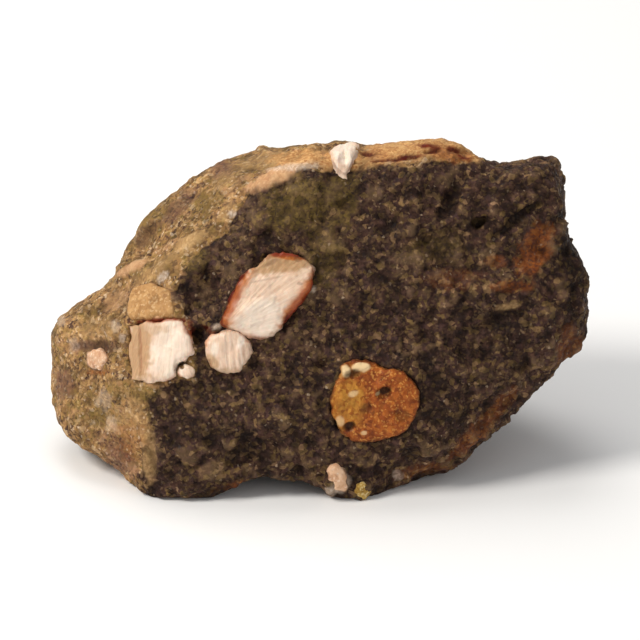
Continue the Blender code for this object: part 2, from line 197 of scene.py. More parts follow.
def keep_outside(mesh):
    """Deletes the closed hollows inside a mesh, which are its smaller separate parts."""
    builder = bmesh.new()
    builder.from_mesh(mesh)
    parts = []
    unseen = set(builder.verts)
    while unseen:
        part = {unseen.pop()}
        border = list(part)
        while border:
            vertex = border.pop()
            near = {edge.other_vert(vertex) for edge in vertex.link_edges} - part
            part |= near
            border += near
        unseen -= part
        parts.append(part)
    largest = max(parts, key=len)
    inner = [vertex for part in parts if part is not largest for vertex in part]
    bmesh.ops.delete(builder, geom=inner, context="VERTS")
    builder.to_mesh(mesh)
    builder.free()


def fine_copy(node, name, voxel, smoothing, plugs=()):
    """A new piece with a CAD node's shape in small even faces, joined to its plugs if it has some. The
    node itself isn't shown."""
    builder = bmesh.new()
    builder.from_mesh(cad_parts[node].data)
    for other in plugs:
        plug(builder, other)
    shape = bpy.data.meshes.new(name)
    builder.to_mesh(shape)
    builder.free()
    piece = bpy.data.objects.new(name, shape)
    bpy.context.scene.collection.objects.link(piece)
    fine = piece.modifiers.new("fine", "REMESH")
    fine.mode = "VOXEL"
    fine.voxel_size = voxel * MM
    softened = piece.modifiers.new("softened", "SMOOTH")
    softened.iterations = smoothing
    bpy.context.view_layer.update()
    seen = piece.evaluated_get(bpy.context.evaluated_depsgraph_get())
    mesh = bpy.data.meshes.new_from_object(seen)
    piece.modifiers.clear()
    piece.data = mesh
    keep_outside(mesh)
    mesh.name = name
    mesh.materials.clear()
    mesh.shade_smooth()
    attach(piece, "root")
    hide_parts(node)
    return piece


def read_points(mesh):
    """The points of a mesh, in millimetres."""
    points = np.empty(len(mesh.vertices) * 3)
    mesh.vertices.foreach_get("co", points)
    return points.reshape(-1, 3) / MM


def read_normals(mesh):
    """The outward way at each point of a mesh."""
    normals = np.empty(len(mesh.vertices) * 3)
    mesh.vertex_normals.foreach_get("vector", normals)
    return normals.reshape(-1, 3)


def write_points(mesh, points):
    """Moves the points of a mesh to these places, in millimetres."""
    mesh.vertices.foreach_set("co", (points * MM).ravel())
    mesh.update()


def paint(mesh, name, values):
    """Keeps a number, or three, for each point of a mesh, for its material to read."""
    kind = "FLOAT_VECTOR" if values.ndim > 1 else "FLOAT"
    layer = mesh.attributes.new(name, kind, "POINT")
    layer.data.foreach_set("vector" if values.ndim > 1 else "value", values.ravel().astype(np.float32))


def edge_distance(places, outline):
    """How far places of a plane lie inside a closed outline, in millimetres, and below 0 outside it."""
    nearest = np.full(len(places), np.inf)
    inside = np.zeros(len(places), bool)
    for start, end in zip(outline, np.roll(outline, -1, axis=0)):
        side = end - start
        share = np.clip((places - start) @ side / (side @ side), 0, 1)
        nearest = np.minimum(nearest, np.hypot(*(places - start - share[:, None] * side).T))
        crosses = (start[1] > places[:, 1]) != (end[1] > places[:, 1])
        with np.errstate(divide="ignore", invalid="ignore"):
            across = start[0] + (places[:, 1] - start[1]) / (end[1] - start[1]) * side[0]
        inside ^= crosses & (places[:, 0] < across)
    return np.where(inside, nearest, -nearest)


# A mark on the stone: its middle, half length and half width in pixels, the turn of its length in
# degrees from the right towards the top, and its strength
Mark = namedtuple("Mark", "x y length width turn strength", defaults=(0, 1.0))


def marks(face, listed, ragged, seed, softness=0.3):
    """How strongly each point lies under one of the marks, which have ragged edges."""
    rough = waves(face, RAGGED_COARSE, seed) * ragged
    rough += waves(face, RAGGED_FINE, seed + 1) * ragged * RAGGED_FINE_SHARE
    front = step(*MARK_RANGE, face[:, 2])
    under = np.zeros(len(face))
    for mark in listed:
        offset = (face[:, :2] - from_pixel(mark.x, mark.y)) / PIXEL
        turn = math.radians(mark.turn)
        along = offset @ (math.cos(turn), math.sin(turn)) / mark.length
        aside = offset @ (-math.sin(turn), math.cos(turn)) / mark.width
        depth = 1 - np.hypot(along, aside) + rough
        under = np.maximum(under, step(-softness, softness, depth) * mark.strength)
    return under * front


def pressed(face, listed, ragged, seed, softness):
    """How deep the marks are pressed in at each point: each one's strength is its depth in millimetres,
    which is negative for a lump."""
    depth = np.zeros(len(face))
    for mark in listed:
        depth += marks(face, [mark._replace(strength=1.0)], ragged, seed, softness) * mark.strength
    return depth


def paint_marks(mesh, face, layers, ragged, first_seed):
    """Paints each layer of marks by its name. Each layer takes two seeds of its own."""
    for order, (name, listed) in enumerate(layers.items()):
        paint(mesh, name, marks(face, listed, ragged, first_seed + 3 * order))


# Materials

# The sockets of a mix node that take and give colours
MIX_SHARE = 0
MIX_FIRST = 6
MIX_SECOND = 7
MIX_RESULT = 2

# How often the warp of a recipe's places bends in a millimetre
WARP_BENDS = 1.1


def colour(red, green, blue):
    """A colour as the photograph has it, from 0 to 255, in the renderer's own terms."""
    shares = [value / 255 for value in (red, green, blue)]
    return (*[s / 12.92 if s <= 0.04045 else ((s + 0.055) / 1.055) ** 2.4 for s in shares], 1)


# What a recipe knows of some grains: one random number picks their colour from a ramp, and another
# mixes two shades
Grains = namedtuple("Grains", "tone tint")


class Recipe:
    """A material whose nodes are added one at a time, each wired to those that feed it."""

    def __init__(self, name):
        self.material = bpy.data.materials.new(name)
        self.material.use_nodes = True
        self.tree = self.material.node_tree
        self.skin = self.tree.nodes["Principled BSDF"]

    def feed(self, socket, value):
        if isinstance(value, bpy.types.NodeSocket):
            self.tree.links.new(value, socket)
        else:
            socket.default_value = value

    def layer(self, name, strength=None):
        """A layer that paint() made: one number for each point, times the strength if there is one."""
        node = self.tree.nodes.new("ShaderNodeAttribute")
        node.attribute_name = name
        value = node.outputs["Fac"]
        return value if strength is None else self.maths("MULTIPLY", value, strength)

    def place(self, name="face", stretch=(1, 1, 1), warp=0.0):
        """Coordinates in millimetres from a painted layer, stretched, and warped by some millimetres."""
        node = self.tree.nodes.new("ShaderNodeAttribute")
        node.attribute_name = name
        placed = self.vector("MULTIPLY", node.outputs["Vector"], stretch)
        if warp:
            bend = self.tree.nodes.new("ShaderNodeTexNoise")
            self.feed(bend.inputs["Vector"], placed)
            self.feed(bend.inputs["Scale"], WARP_BENDS)
            centred = self.vector("SUBTRACT", bend.outputs["Color"], (0.5, 0.5, 0.5))
            placed = self.vector("ADD", placed, self.vector("MULTIPLY", centred, (warp * 2,) * 3))
        return placed

    def vector(self, operation, first, second):
        node = self.tree.nodes.new("ShaderNodeVectorMath")
        node.operation = operation
        self.feed(node.inputs[0], first)
        self.feed(node.inputs[1], second)
        return node.outputs["Vector"]

    def maths(self, operation, first, second, clamp=False):
        node = self.tree.nodes.new("ShaderNodeMath")
        node.operation = operation
        node.use_clamp = clamp
        self.feed(node.inputs[0], first)
        self.feed(node.inputs[1], second)
        return node.outputs[0]

    def noise(self, where, size, detail=3, roughness=0.6):
        """Cloudy noise from 0 to 1 with patches of about the given size in millimetres."""
        node = self.tree.nodes.new("ShaderNodeTexNoise")
        self.feed(node.inputs["Vector"], where)
        self.feed(node.inputs["Scale"], 1 / size)
        self.feed(node.inputs["Detail"], detail)
        self.feed(node.inputs["Roughness"], roughness)
        return node.outputs["Fac"]

    def grains(self, where, size):
        """Two random numbers from 0 to 1 for each grain of about the given size in millimetres."""
        node = self.tree.nodes.new("ShaderNodeTexVoronoi")
        self.feed(node.inputs["Vector"], where)
        self.feed(node.inputs["Scale"], 1 / size)
        parts = self.tree.nodes.new("ShaderNodeSeparateColor")
        self.feed(parts.inputs["Color"], node.outputs["Color"])
        return Grains(parts.outputs["Red"], parts.outputs["Green"])

    def ramp(self, value, stops):
        """Turns a number into a colour, or into another number, by way of some stops."""
        node = self.tree.nodes.new("ShaderNodeValToRGB")
        band = node.color_ramp
        band.interpolation = "LINEAR"
        while len(band.elements) < len(stops):
            band.elements.new(0.5)
        for element, (position, shade) in zip(band.elements, stops):
            element.position = position
            element.color = shade if isinstance(shade, tuple) else (shade, shade, shade, 1)
        self.feed(node.inputs["Fac"], value)
        return node.outputs["Color"]

    def mix(self, share, first, second, blend="MIX"):
        """The first colour with a share of the second laid over it."""
        node = self.tree.nodes.new("ShaderNodeMix")
        node.data_type = "RGBA"
        node.blend_type = blend
        self.feed(node.inputs[MIX_SHARE], share)
        self.feed(node.inputs[MIX_FIRST], first)
        self.feed(node.inputs[MIX_SECOND], second)
        return node.outputs[MIX_RESULT]

    def shaded(self, base, factor):
        """A colour times a factor, which darkens it below 1 and lightens it above."""
        return self.mix(1.0, base, factor, "MULTIPLY")

    def bump(self, height, depth, strength):
        """Raises fine relief of about the given depth in millimetres."""
        node = self.tree.nodes.new("ShaderNodeBump")
        self.feed(node.inputs["Height"], height)
        self.feed(node.inputs["Distance"], depth * MM)
        self.feed(node.inputs["Strength"], strength)
        return node.outputs["Normal"]

    def finish(self, base, roughness, normal, **constants):
        """Feeds the shader and gives the material. A constant is named as its socket is, with _ for a
        space."""
        self.feed(self.skin.inputs["Base Color"], base)
        self.feed(self.skin.inputs["Roughness"], roughness)
        self.feed(self.skin.inputs["Normal"], normal)
        for name, value in constants.items():
            self.skin.inputs[name.replace("_", " ")].default_value = value
        return self.material


# The host rock. The dark fresh fracture is bounded by this outline in the photograph, and what lies
# outside it is the pale weathered rind
FRESH_OUTLINE = (
    (148, 520), (140, 470), (150, 440), (150, 400), (162, 384), (194, 378), (198, 352), (192, 322),
    (176, 305), (172, 298), (185, 270), (205, 250), (228, 232), (236, 215), (245, 195), (270, 180),
    (300, 172), (340, 170), (420, 166), (484, 161), (492, 120), (620, 120), (620, 520),
)

# Colour marks of the stone, by the name of the layer that its material reads. The shade layer is
# painted shade: it darkens the shadowed right facet, the grooves, pits and hollows, and the places under
# ledges
ROCK_MARKS = {
    "salmon": (
        Mark(132, 268, 17, 4.5, 24), Mark(275, 178, 27, 8, 24), Mark(165, 300, 9, 16, 0, 0.4),
        Mark(152, 312, 18, 7, 0, 0.8), Mark(115, 300, 14, 9, 30, 0.5),
    ),
    "tan": (
        Mark(190, 243, 19, 6, 32), Mark(163, 262, 14, 5, 35, 0.7), Mark(228, 212, 10, 6, 45, 0.8),
        Mark(263, 160, 34, 8, 8, 0.7), Mark(150, 275, 16, 7, 30, 0.7), Mark(134, 420, 12, 22, 0, 0.5),
        Mark(150, 455, 7, 26, 0, 0.8), Mark(95, 330, 22, 12, 0, 0.4), Mark(505, 307, 14, 3, 12, 0.6),
        Mark(225, 180, 14, 9, 30, 0.5),
    ),
    "cream": (
        Mark(217, 327, 6, 3, 20, 0.7), Mark(116, 326, 5, 6, 30, 0.4), Mark(123, 338, 3, 4, 0, 0.5),
        Mark(163, 277, 7, 4, 50, 0.9), Mark(233, 214, 4, 3, 0, 0.9), Mark(105, 400, 8, 10, 0, 0.3),
        Mark(112, 424, 6, 8, 0, 0.35), Mark(72, 345, 5, 7, 0, 0.35), Mark(60, 322, 4, 5, 0, 0.4),
        Mark(398, 475, 5, 5, 0, 0.7), Mark(345, 480, 6, 9, 0, 0.6), Mark(335, 490, 8, 6, 0, 0.7),
        # The small cream mark at pixel (313, 290) is a painted glint
        Mark(313, 290, 2.5, 3, 0, 0.8), Mark(298, 168, 26, 4, 8, 0.7),
    ),
    "mauve": (
        Mark(95, 346, 24, 6, 0, 0.9), Mark(62, 385, 10, 16, 0, 0.8), Mark(178, 206, 26, 8, 45, 0.7),
        Mark(222, 168, 12, 10, 30, 0.9), Mark(120, 460, 22, 10, -35, 0.8), Mark(145, 235, 16, 8, 50, 0.6),
        Mark(110, 440, 20, 8, -20, 0.5),
    ),
    "olive": (
        Mark(152, 222, 34, 11, 48, 0.8), Mark(196, 262, 16, 9, 35, 0.7), Mark(95, 410, 26, 18, 0, 0.5),
        Mark(205, 205, 20, 12, 40, 0.6), Mark(140, 392, 20, 8, 0, 0.6), Mark(300, 205, 44, 24, 20, 0.75),
        Mark(345, 200, 30, 12, 80, 0.7), Mark(325, 250, 16, 40, 0, 0.5), Mark(118, 390, 24, 10, 0, 0.4),
        Mark(433, 250, 30, 14, 0, 0.35),
    ),
    "crust": (
        Mark(300, 158, 30, 8, 5), Mark(345, 160, 30, 10, 2), Mark(400, 150, 36, 13, 3),
        Mark(440, 148, 30, 11, -8), Mark(466, 156, 14, 6, -28),
    ),
    "crack": (
        Mark(368, 154, 7, 1.8, 4), Mark(395, 160, 20, 1.8, 4), Mark(432, 152, 7, 2.5, 10),
        Mark(430, 148, 12, 2, -4), Mark(453, 150, 8, 2.0, -12), Mark(412, 157, 12, 1.6, 0),
        Mark(182, 321, 5, 3, 0), Mark(156, 321, 26, 2.2, 3), Mark(192, 327, 3, 7, 20),
        Mark(385, 145, 8, 1.3, 8, 0.8), Mark(462, 158, 8, 1.6, -25), Mark(215, 335, 9, 2.5, -45, 0.9),
        Mark(209, 327, 6, 2, -30, 0.8),
    ),
    "rust": (
        Mark(533, 250, 26, 14, 65, 0.8), Mark(534, 265, 9, 7, 30, 1.0), Mark(512, 287, 20, 6, 5, 0.6),
        Mark(545, 232, 12, 8, 60, 0.6), Mark(490, 415, 30, 7, 42, 0.45), Mark(470, 440, 26, 7, 42, 0.5),
        Mark(505, 400, 14, 7, 42, 0.5), Mark(495, 262, 10, 6, 0, 0.5), Mark(420, 470, 30, 6, 8, 0.4),
        Mark(452, 280, 26, 10, 0, 0.25), Mark(240, 486, 20, 5, 10, 0.5), Mark(130, 440, 14, 20, 0, 0.4),
        Mark(450, 155, 22, 8, -10, 0.9), Mark(378, 156, 12, 7, 0, 0.5), Mark(570, 350, 14, 22, 10, 0.4),
        Mark(98, 372, 12, 2.5, 0, 0.9),
    ),
    # Painted shade: the shadowed right facet, grooves, pits, hollows and the places under ledges
    "shade": (
        Mark(574, 268, 12, 36, 8, 1.0), Mark(520, 217, 30, 4, 38, 0.9), Mark(448, 205, 8, 18, -20, 0.6),
        Mark(512, 322, 14, 12, 0, 0.5), Mark(477, 222, 7, 5, 0, 0.8), Mark(428, 240, 5, 3, 0, 0.6),
        Mark(395, 232, 14, 14, 0, 0.35), Mark(203, 336, 15, 12, 0, 0.8), Mark(190, 372, 14, 6, 0, 0.6),
        Mark(500, 345, 18, 12, 0, 0.5), Mark(225, 492, 14, 6, 0, 0.8), Mark(245, 450, 26, 16, 0, 0.3),
        Mark(206, 440, 30, 24, 0, 0.3), Mark(185, 345, 6, 10, 0, 0.5), Mark(482, 318, 30, 7, 14, 0.5),
    ),
}

# Small dents of the stone, too fine for its solid. The strength is the depth in millimetres, which is
# negative for a lump
ROCK_DENTS = (
    Mark(477, 222, 6, 4, 0, 0.7), Mark(428, 240, 5, 3, 20, 0.5), Mark(520, 217, 28, 4, 38, 0.9),
    Mark(505, 307, 16, 3, 12, -0.5), Mark(502, 316, 18, 4, 12, 0.6), Mark(552, 250, 3.5, 16, 12, -0.7),
    Mark(395, 160, 22, 1.8, 4, 0.5), Mark(432, 152, 9, 2, 8, 0.5), Mark(455, 151, 9, 2, -12, 0.5),
    Mark(368, 154, 8, 1.8, 4, 0.4), Mark(400, 147, 30, 4, 3, -0.35), Mark(275, 178, 30, 7, 24, -0.45),
    Mark(132, 268, 18, 5, 24, -0.4), Mark(190, 243, 20, 6, 32, -0.5), Mark(95, 346, 26, 5, 0, 0.4),
    Mark(60, 322, 6, 8, 0, -0.4), Mark(262, 148, 5, 4, 0, -0.5), Mark(448, 205, 8, 20, -20, 0.6),
    Mark(470, 330, 40, 5, 16, 0.6), Mark(430, 345, 26, 5, 24, -0.5), Mark(560, 335, 20, 4, 35, -0.4),
    Mark(240, 455, 16, 8, 30, 0.5), Mark(190, 455, 14, 6, -20, -0.5), Mark(160, 440, 3, 30, 0, -0.4),
    Mark(213, 468, 12, 6, 20, -0.6), Mark(330, 210, 6, 24, 0, -0.4), Mark(412, 260, 22, 6, -10, -0.5),
    Mark(440, 232, 16, 5, 10, 0.4), Mark(385, 320, 20, 8, 30, 0.4), Mark(430, 395, 14, 20, 0, 0.4),
)

# Behind the broad face a slanting plane bounds the fracture: the way out of it, its distance from the
# face's middle, and between which values of w it takes over from the outline
BACK_WAY = (0.30, -0.75, -0.15)
BACK_START = 1
BACK_RANGE = (-2, 7)

# Half the width of that border in front and behind, and how it wanders, all in millimetres
FRONT_BORDER = 0.9
BACK_BORDER = 3.5
BACK_RAGGED = 2.5
BORDER_RAGGED = (Relief(waves, 3.4, 1.0, 11), Relief(waves, 1.3, 0.7, 12))
BACK_SWEEP = (Relief(waves, 13, 8, 13),)

# The fracture is hackly and the rind is more worn, but keeps a share of the hackly relief
HACKLY_RELIEF = (Relief(facets, 3.0, 0.42, 21), Relief(facets, 1.5, 0.24, 22))
WORN_RELIEF = (Relief(facets, 2.1, 0.2, 24), Relief(waves, 1.1, 0.12, 25))
FINE_RELIEF = (Relief(waves, 0.75, 0.07, 23),)
RIND_HACKLE = 0.35

# Small open bubbles of the rock. Their rim and floor are told in spacings from their middle, and only a
# share of the places holds one
BUBBLE_SPACING = 2.4
BUBBLE_DEPTH = 0.45
BUBBLE_RANGE = (0.28, 0.08)
BUBBLE_SHARE = 0.16

# Heights above the table between which the relief sets in, so that the foot stays flat
FOOT_RANGE = (0.05, 0.9)

# How much a surface has to face the camera to have dents, the relief that counts as a hollow, which the
# colour darkens as painted shade, and how strongly, and the relief that counts as a ridge in the colour
DENT_FACING = (-0.3, 0.1)
HOLLOW_SHADE_RANGE = (0.05, -0.45)
HOLLOW_SHADE_STRENGTH = 0.9
RIDGE_RANGE = (0.2, 0.6)


def rock_freshness(face):
    """1 on the fresh fracture and 0 on the weathered rind, with a ragged border between them."""
    outline = np.array([from_pixel(*corner) for corner in FRESH_OUTLINE])
    ragged = raised(face, BORDER_RAGGED)
    front = edge_distance(face[:, :2], outline) + ragged * FRONT_BORDER
    front = step(-FRONT_BORDER, FRONT_BORDER, front)
    back = face @ BACK_WAY - BACK_START + raised(face, BACK_SWEEP) + ragged * BACK_RAGGED
    back = step(-BACK_BORDER, BACK_BORDER, back)
    return back + (front - back) * step(*BACK_RANGE, face[:, 2])


def rock_relief(face, normals, fresh, bubbles):
    """How far the rock's surface is moved out at each point, in millimetres."""
    hackly = raised(face, HACKLY_RELIEF)
    worn = raised(face, WORN_RELIEF)
    relief = worn + (hackly - worn) * (RIND_HACKLE + (1 - RIND_HACKLE) * fresh)
    relief += raised(face, FINE_RELIEF) - bubbles * BUBBLE_DEPTH
    dents = pressed(face, ROCK_DENTS, ragged=0.15, seed=41, softness=0.5)
    return relief - dents * step(*DENT_FACING, normals @ FACE_OUTWARD)


def dress_rock():
    rock = fine_copy("basalt", "basalt_stone", ROCK_VOXEL, ROCK_SMOOTHINGS, FILLINGS)
    mesh = rock.data
    points, normals = read_points(mesh), read_normals(mesh)
    face = to_face(points)
    fresh = rock_freshness(face)
    near, chance = cells(face, BUBBLE_SPACING, seed=31)
    bubbles = step(*BUBBLE_RANGE, near) * (chance < BUBBLE_SHARE)
    relief = rock_relief(face, normals, fresh, bubbles)
    points = points + normals * (relief * step(*FOOT_RANGE, points[:, 2]))[:, None]
    points[:, 2] = np.maximum(points[:, 2], 0.0)
    write_points(mesh, points)

    paint(mesh, "face", face)
    paint(mesh, "fresh", fresh)
    # Painted shade: this layer darkens the sunken relief and the open bubbles
    paint(mesh, "hollow_shade", np.clip(step(*HOLLOW_SHADE_RANGE, relief) * HOLLOW_SHADE_STRENGTH + bubbles, 0, 1))
    paint(mesh, "ridge", step(*RIDGE_RANGE, relief))
    paint_marks(mesh, face, ROCK_MARKS, ragged=0.28, first_seed=50)
    mesh.materials.append(rock_material())


# The size of the rock's grains, of the clumps and mottles that they make and of larger blotches and
# patches, in millimetres
COARSE_GRAIN = 0.85
FINE_GRAIN = 0.42
CLUMP = 1.7
MOTTLE = 2.6
BLOTCH = 5.0
PATCH = 9.0

# What each kind of mark lays over the rock's colour, in this order: a darker and a lighter shade, and
# how strongly
ROCK_TINTS = {
    "olive": ((72, 56, 30), (142, 118, 58), 0.6),
    "mauve": ((78, 52, 46), (140, 100, 82), 0.75),
    "tan": ((168, 128, 80), (206, 168, 116), 0.7),
    "salmon": ((196, 142, 98), (222, 176, 132), 0.85),
    "cream": ((190, 164, 138), (238, 218, 200), 0.8),
    "crust": ((176, 116, 62), (226, 178, 118), 0.85),
    "rust": ((96, 44, 20), (168, 92, 34), 0.7),
    "crack": ((84, 24, 14), (120, 40, 22), 0.9),
}


def fracture_colour(make, where, coarse, fine):
    """The dark fresh rock: nearly black, brown and greenish grains in clumps, and a few pale specks that
    are painted glints.
    """
    dark = make.ramp(coarse.tone, (
        (0.0, colour(40, 25, 20)), (0.22, colour(52, 34, 28)), (0.45, colour(72, 50, 38)),
        (0.62, colour(66, 46, 46)), (0.78, colour(88, 66, 42)), (0.9, colour(118, 94, 52)),
        (1.0, colour(150, 116, 84)),
    ))
    # The palest fine grains at the top of this ramp are painted glints
    dark_fine = make.ramp(fine.tone, (
        (0.0, colour(34, 20, 16)), (0.4, colour(66, 44, 36)), (0.75, colour(82, 58, 48)),
        (0.95, colour(112, 88, 54)), (0.992, colour(150, 122, 92)), (1.0, colour(205, 180, 150)),
    ))
    clumps = make.ramp(make.noise(where, CLUMP), ((0.36, 0.5), (0.5, 0.92), (0.64, 1.5)))
    return make.shaded(make.mix(0.45, dark, dark_fine), clumps)


def rind_colour(make, coarse, fine, mottled):
    """The pale weathered rock: tan and cream grains with darker brown and pinkish blotches."""
    pale = make.ramp(coarse.tone, (
        (0.0, colour(66, 44, 38)), (0.2, colour(100, 72, 50)), (0.36, colour(156, 116, 74)),
        (0.6, colour(170, 130, 82)), (0.8, colour(142, 118, 58)), (0.92, colour(200, 160, 112)),
        (1.0, colour(226, 198, 160)),
    ))
    pale_fine = make.ramp(fine.tone, (
        (0.0, colour(54, 34, 36)), (0.24, colour(84, 60, 50)), (0.42, colour(154, 114, 68)),
        (0.8, colour(176, 136, 86)), (0.95, colour(208, 174, 128)), (1.0, colour(236, 216, 190)),
    ))
    pale = make.mix(0.5, pale, pale_fine)
    blotches = make.noise(make.place(stretch=(1, 1.3, 1)), BLOTCH, detail=4, roughness=0.65)
    brown = make.mix(coarse.tint, colour(92, 66, 44), colour(128, 102, 52))
    pale = make.mix(make.ramp(blotches, ((0.5, 0.0), (0.68, 0.8))), pale, brown)
    pinkish = make.mix(fine.tint, colour(186, 134, 90), colour(214, 168, 122))
    pale = make.mix(make.ramp(blotches, ((0.30, 0.75), (0.42, 0.0))), pale, pinkish)
    return make.shaded(pale, make.ramp(mottled, ((0.34, 0.66), (0.5, 1.0), (0.66, 1.18))))


def tinted(make, base, name, fine, ragged):
    """Lays the colour of a kind of mark over the base, broken up by the rock's grains."""
    low, high, strength = ROCK_TINTS[name]
    shade = make.mix(fine.tint, colour(*low), colour(*high))
    amount = make.layer(name, strength)
    broken = make.maths("ADD", amount, make.maths("MULTIPLY", ragged, amount), clamp=True)
    return make.mix(broken, base, shade)


def rock_material():
    make = Recipe("basalt_speckled")
    where = make.place(warp=0.25)
    coarse = make.grains(where, COARSE_GRAIN)
    fine = make.grains(where, FINE_GRAIN)
    mottled = make.noise(where, MOTTLE, detail=4, roughness=0.65)

    ragged = make.maths("MULTIPLY", make.maths("SUBTRACT", mottled, 0.5), 0.9)
    border = make.ramp(make.maths("ADD", make.layer("fresh"), ragged), ((0.35, 0.0), (0.65, 1.0)))
    rind = rind_colour(make, coarse, fine, mottled)
    base = make.mix(border, rind, fracture_colour(make, where, coarse, fine))
    for name in ROCK_TINTS:
        base = tinted(make, base, name, fine, ragged)

    base = make.shaded(base, make.ramp(make.noise(where, PATCH), ((0.3, 0.80), (0.7, 1.16))))
    # Painted shade from the shade marks
    base = make.shaded(base, make.ramp(make.layer("shade"), ((0.0, 1.0), (1.0, 0.55))))
    # Painted shade in the sunken relief and the open bubbles
    base = make.shaded(base, make.ramp(make.layer("hollow_shade"), ((0.0, 1.0), (1.0, 0.5))))
    base = make.mix(make.layer("ridge", 0.25), base, colour(150, 120, 84), "SCREEN")

    roughness = make.ramp(fine.tint, ((0.0, 0.42), (0.3, 0.7), (1.0, 0.92)))
    gritty = make.noise(where, 0.5, detail=4, roughness=0.7)
    gritty = make.maths("ADD", gritty, make.maths("MULTIPLY", fine.tone, 0.5))
    normal = make.bump(gritty, depth=0.16, strength=0.9)
    return make.finish(base, roughness, normal, IOR=1.5, Specular_IOR_Level=0.14)


# The amygdales. Each has the size of its mesh's faces, how far it is grown, the pixel that its fibres
# run away from, which may lie far outside it, the width of the darkened band along its rim, which on a
# white one holds a painted shadow and the iron stain, and its material. Its lengths are in millimetres
Filling = namedtuple("Filling", "voxel grown focus stain material")

# Silky relief of humps this long across the fibres, along them and into the piece, in millimetres
FIBRE_SIZE = (0.45, 5.0, 2.5)
SILKY_RELIEF = (Relief(waves, 1.0, 0.07, 71),)

# Relief of the cleaved face, of all the surface, and of the rim, which is this wide
CLEAVED_RELIEF = (Relief(facets, 1.7, 0.10, 72),)
SURFACE_RELIEF = (Relief(waves, 0.6, 0.04, 73),)
RIM_RELIEF = (Relief(waves, 2.2, 0.3, 75), Relief(waves, 0.9, 0.15, 76))
RIM_WIDTH = 0.9

# A rim is drawn through this many of its points
RIM_POINTS = 48

# The relief that counts as a hollow of a filling, which the granular colours darken as painted shade
FILLING_HOLLOW_SHADE_RANGE = (0.0, -0.3)


def fibre_places(face, focus):
    """Across the fibres, along them and into the piece, in millimetres."""
    offset = face[:, :2] - from_pixel(*focus)
    reach = np.hypot(*offset.T)
    usual = np.median(reach)
    middle = offset.mean(axis=0)
    turn = np.arctan2(offset[:, 1], offset[:, 0]) - math.atan2(middle[1], middle[0])
    turn = (turn + math.pi) % (2 * math.pi) - math.pi
    return np.stack([turn * usual, reach, face[:, 2]], axis=1)


def seen_flat(node, face):
    """The points as seen square to the piece: how far right and how far up each lies."""
    if node not in SIDE_FACINGS:
        return face[:, :2]
    facing = np.array(SIDE_FACINGS[node])
    facing /= np.linalg.norm(facing)
    right = np.cross((0, 1, 0), facing)
    right /= np.linalg.norm(right)
    return np.stack([face @ right, face @ np.cross(facing, right)], axis=1)


def rim_distance(flat):
    """How far each point of that view lies inside the piece's own rim, in millimetres."""
    offset = flat - (flat.min(axis=0) + flat.max(axis=0)) / 2
    turn = (np.arctan2(offset[:, 1], offset[:, 0]) + math.pi) / (2 * math.pi)
    sector = (turn * RIM_POINTS).astype(int) % RIM_POINTS
    radii = np.hypot(*offset.T)
    rim = [flat[sector == each][radii[sector == each].argmax()] for each in range(RIM_POINTS)]
    return np.maximum(edge_distance(flat, np.array(rim)), 0)


def filling_relief(node, face, fibres, rim):
    """How far a filling's surface is moved out at each point, in millimetres."""
    inner = np.clip(rim / RIM_WIDTH, 0, 1)
    relief = (raised(fibres / FIBRE_SIZE, SILKY_RELIEF) + raised(face, CLEAVED_RELIEF)) * inner
    relief += raised(face, SURFACE_RELIEF) + raised(face, RIM_RELIEF) * (1 - inner)
    return relief - pressed(face, FILLING_CUTS.get(node, ()), ragged=0.12, seed=74, softness=0.35)


def dress_fillings():
    for node, filling in FILLINGS.items():
        piece = fine_copy(node, node + "_mineral", filling.voxel, FILLING_SMOOTHINGS)
        mesh = piece.data
        points, normals = read_points(mesh), read_normals(mesh)
        points = points + normals * filling.grown
        face = to_face(points)
        fibres = fibre_places(face, filling.focus)
        rim = rim_distance(seen_flat(node, face))
        relief = filling_relief(node, face, fibres, rim)
        write_points(mesh, points + normals * relief[:, None])

        paint(mesh, "face", face)
        paint(mesh, "fibres", fibres)
        paint(mesh, "rim", rim / filling.stain)
        # Painted shade: this layer darkens the filling's sunken relief
        paint(mesh, "hollow_shade", step(*FILLING_HOLLOW_SHADE_RANGE, relief))
        paint_marks(mesh, face, FILLING_MARKS, ragged=0.2, first_seed=80)
        mesh.materials.append(filling.material(node))


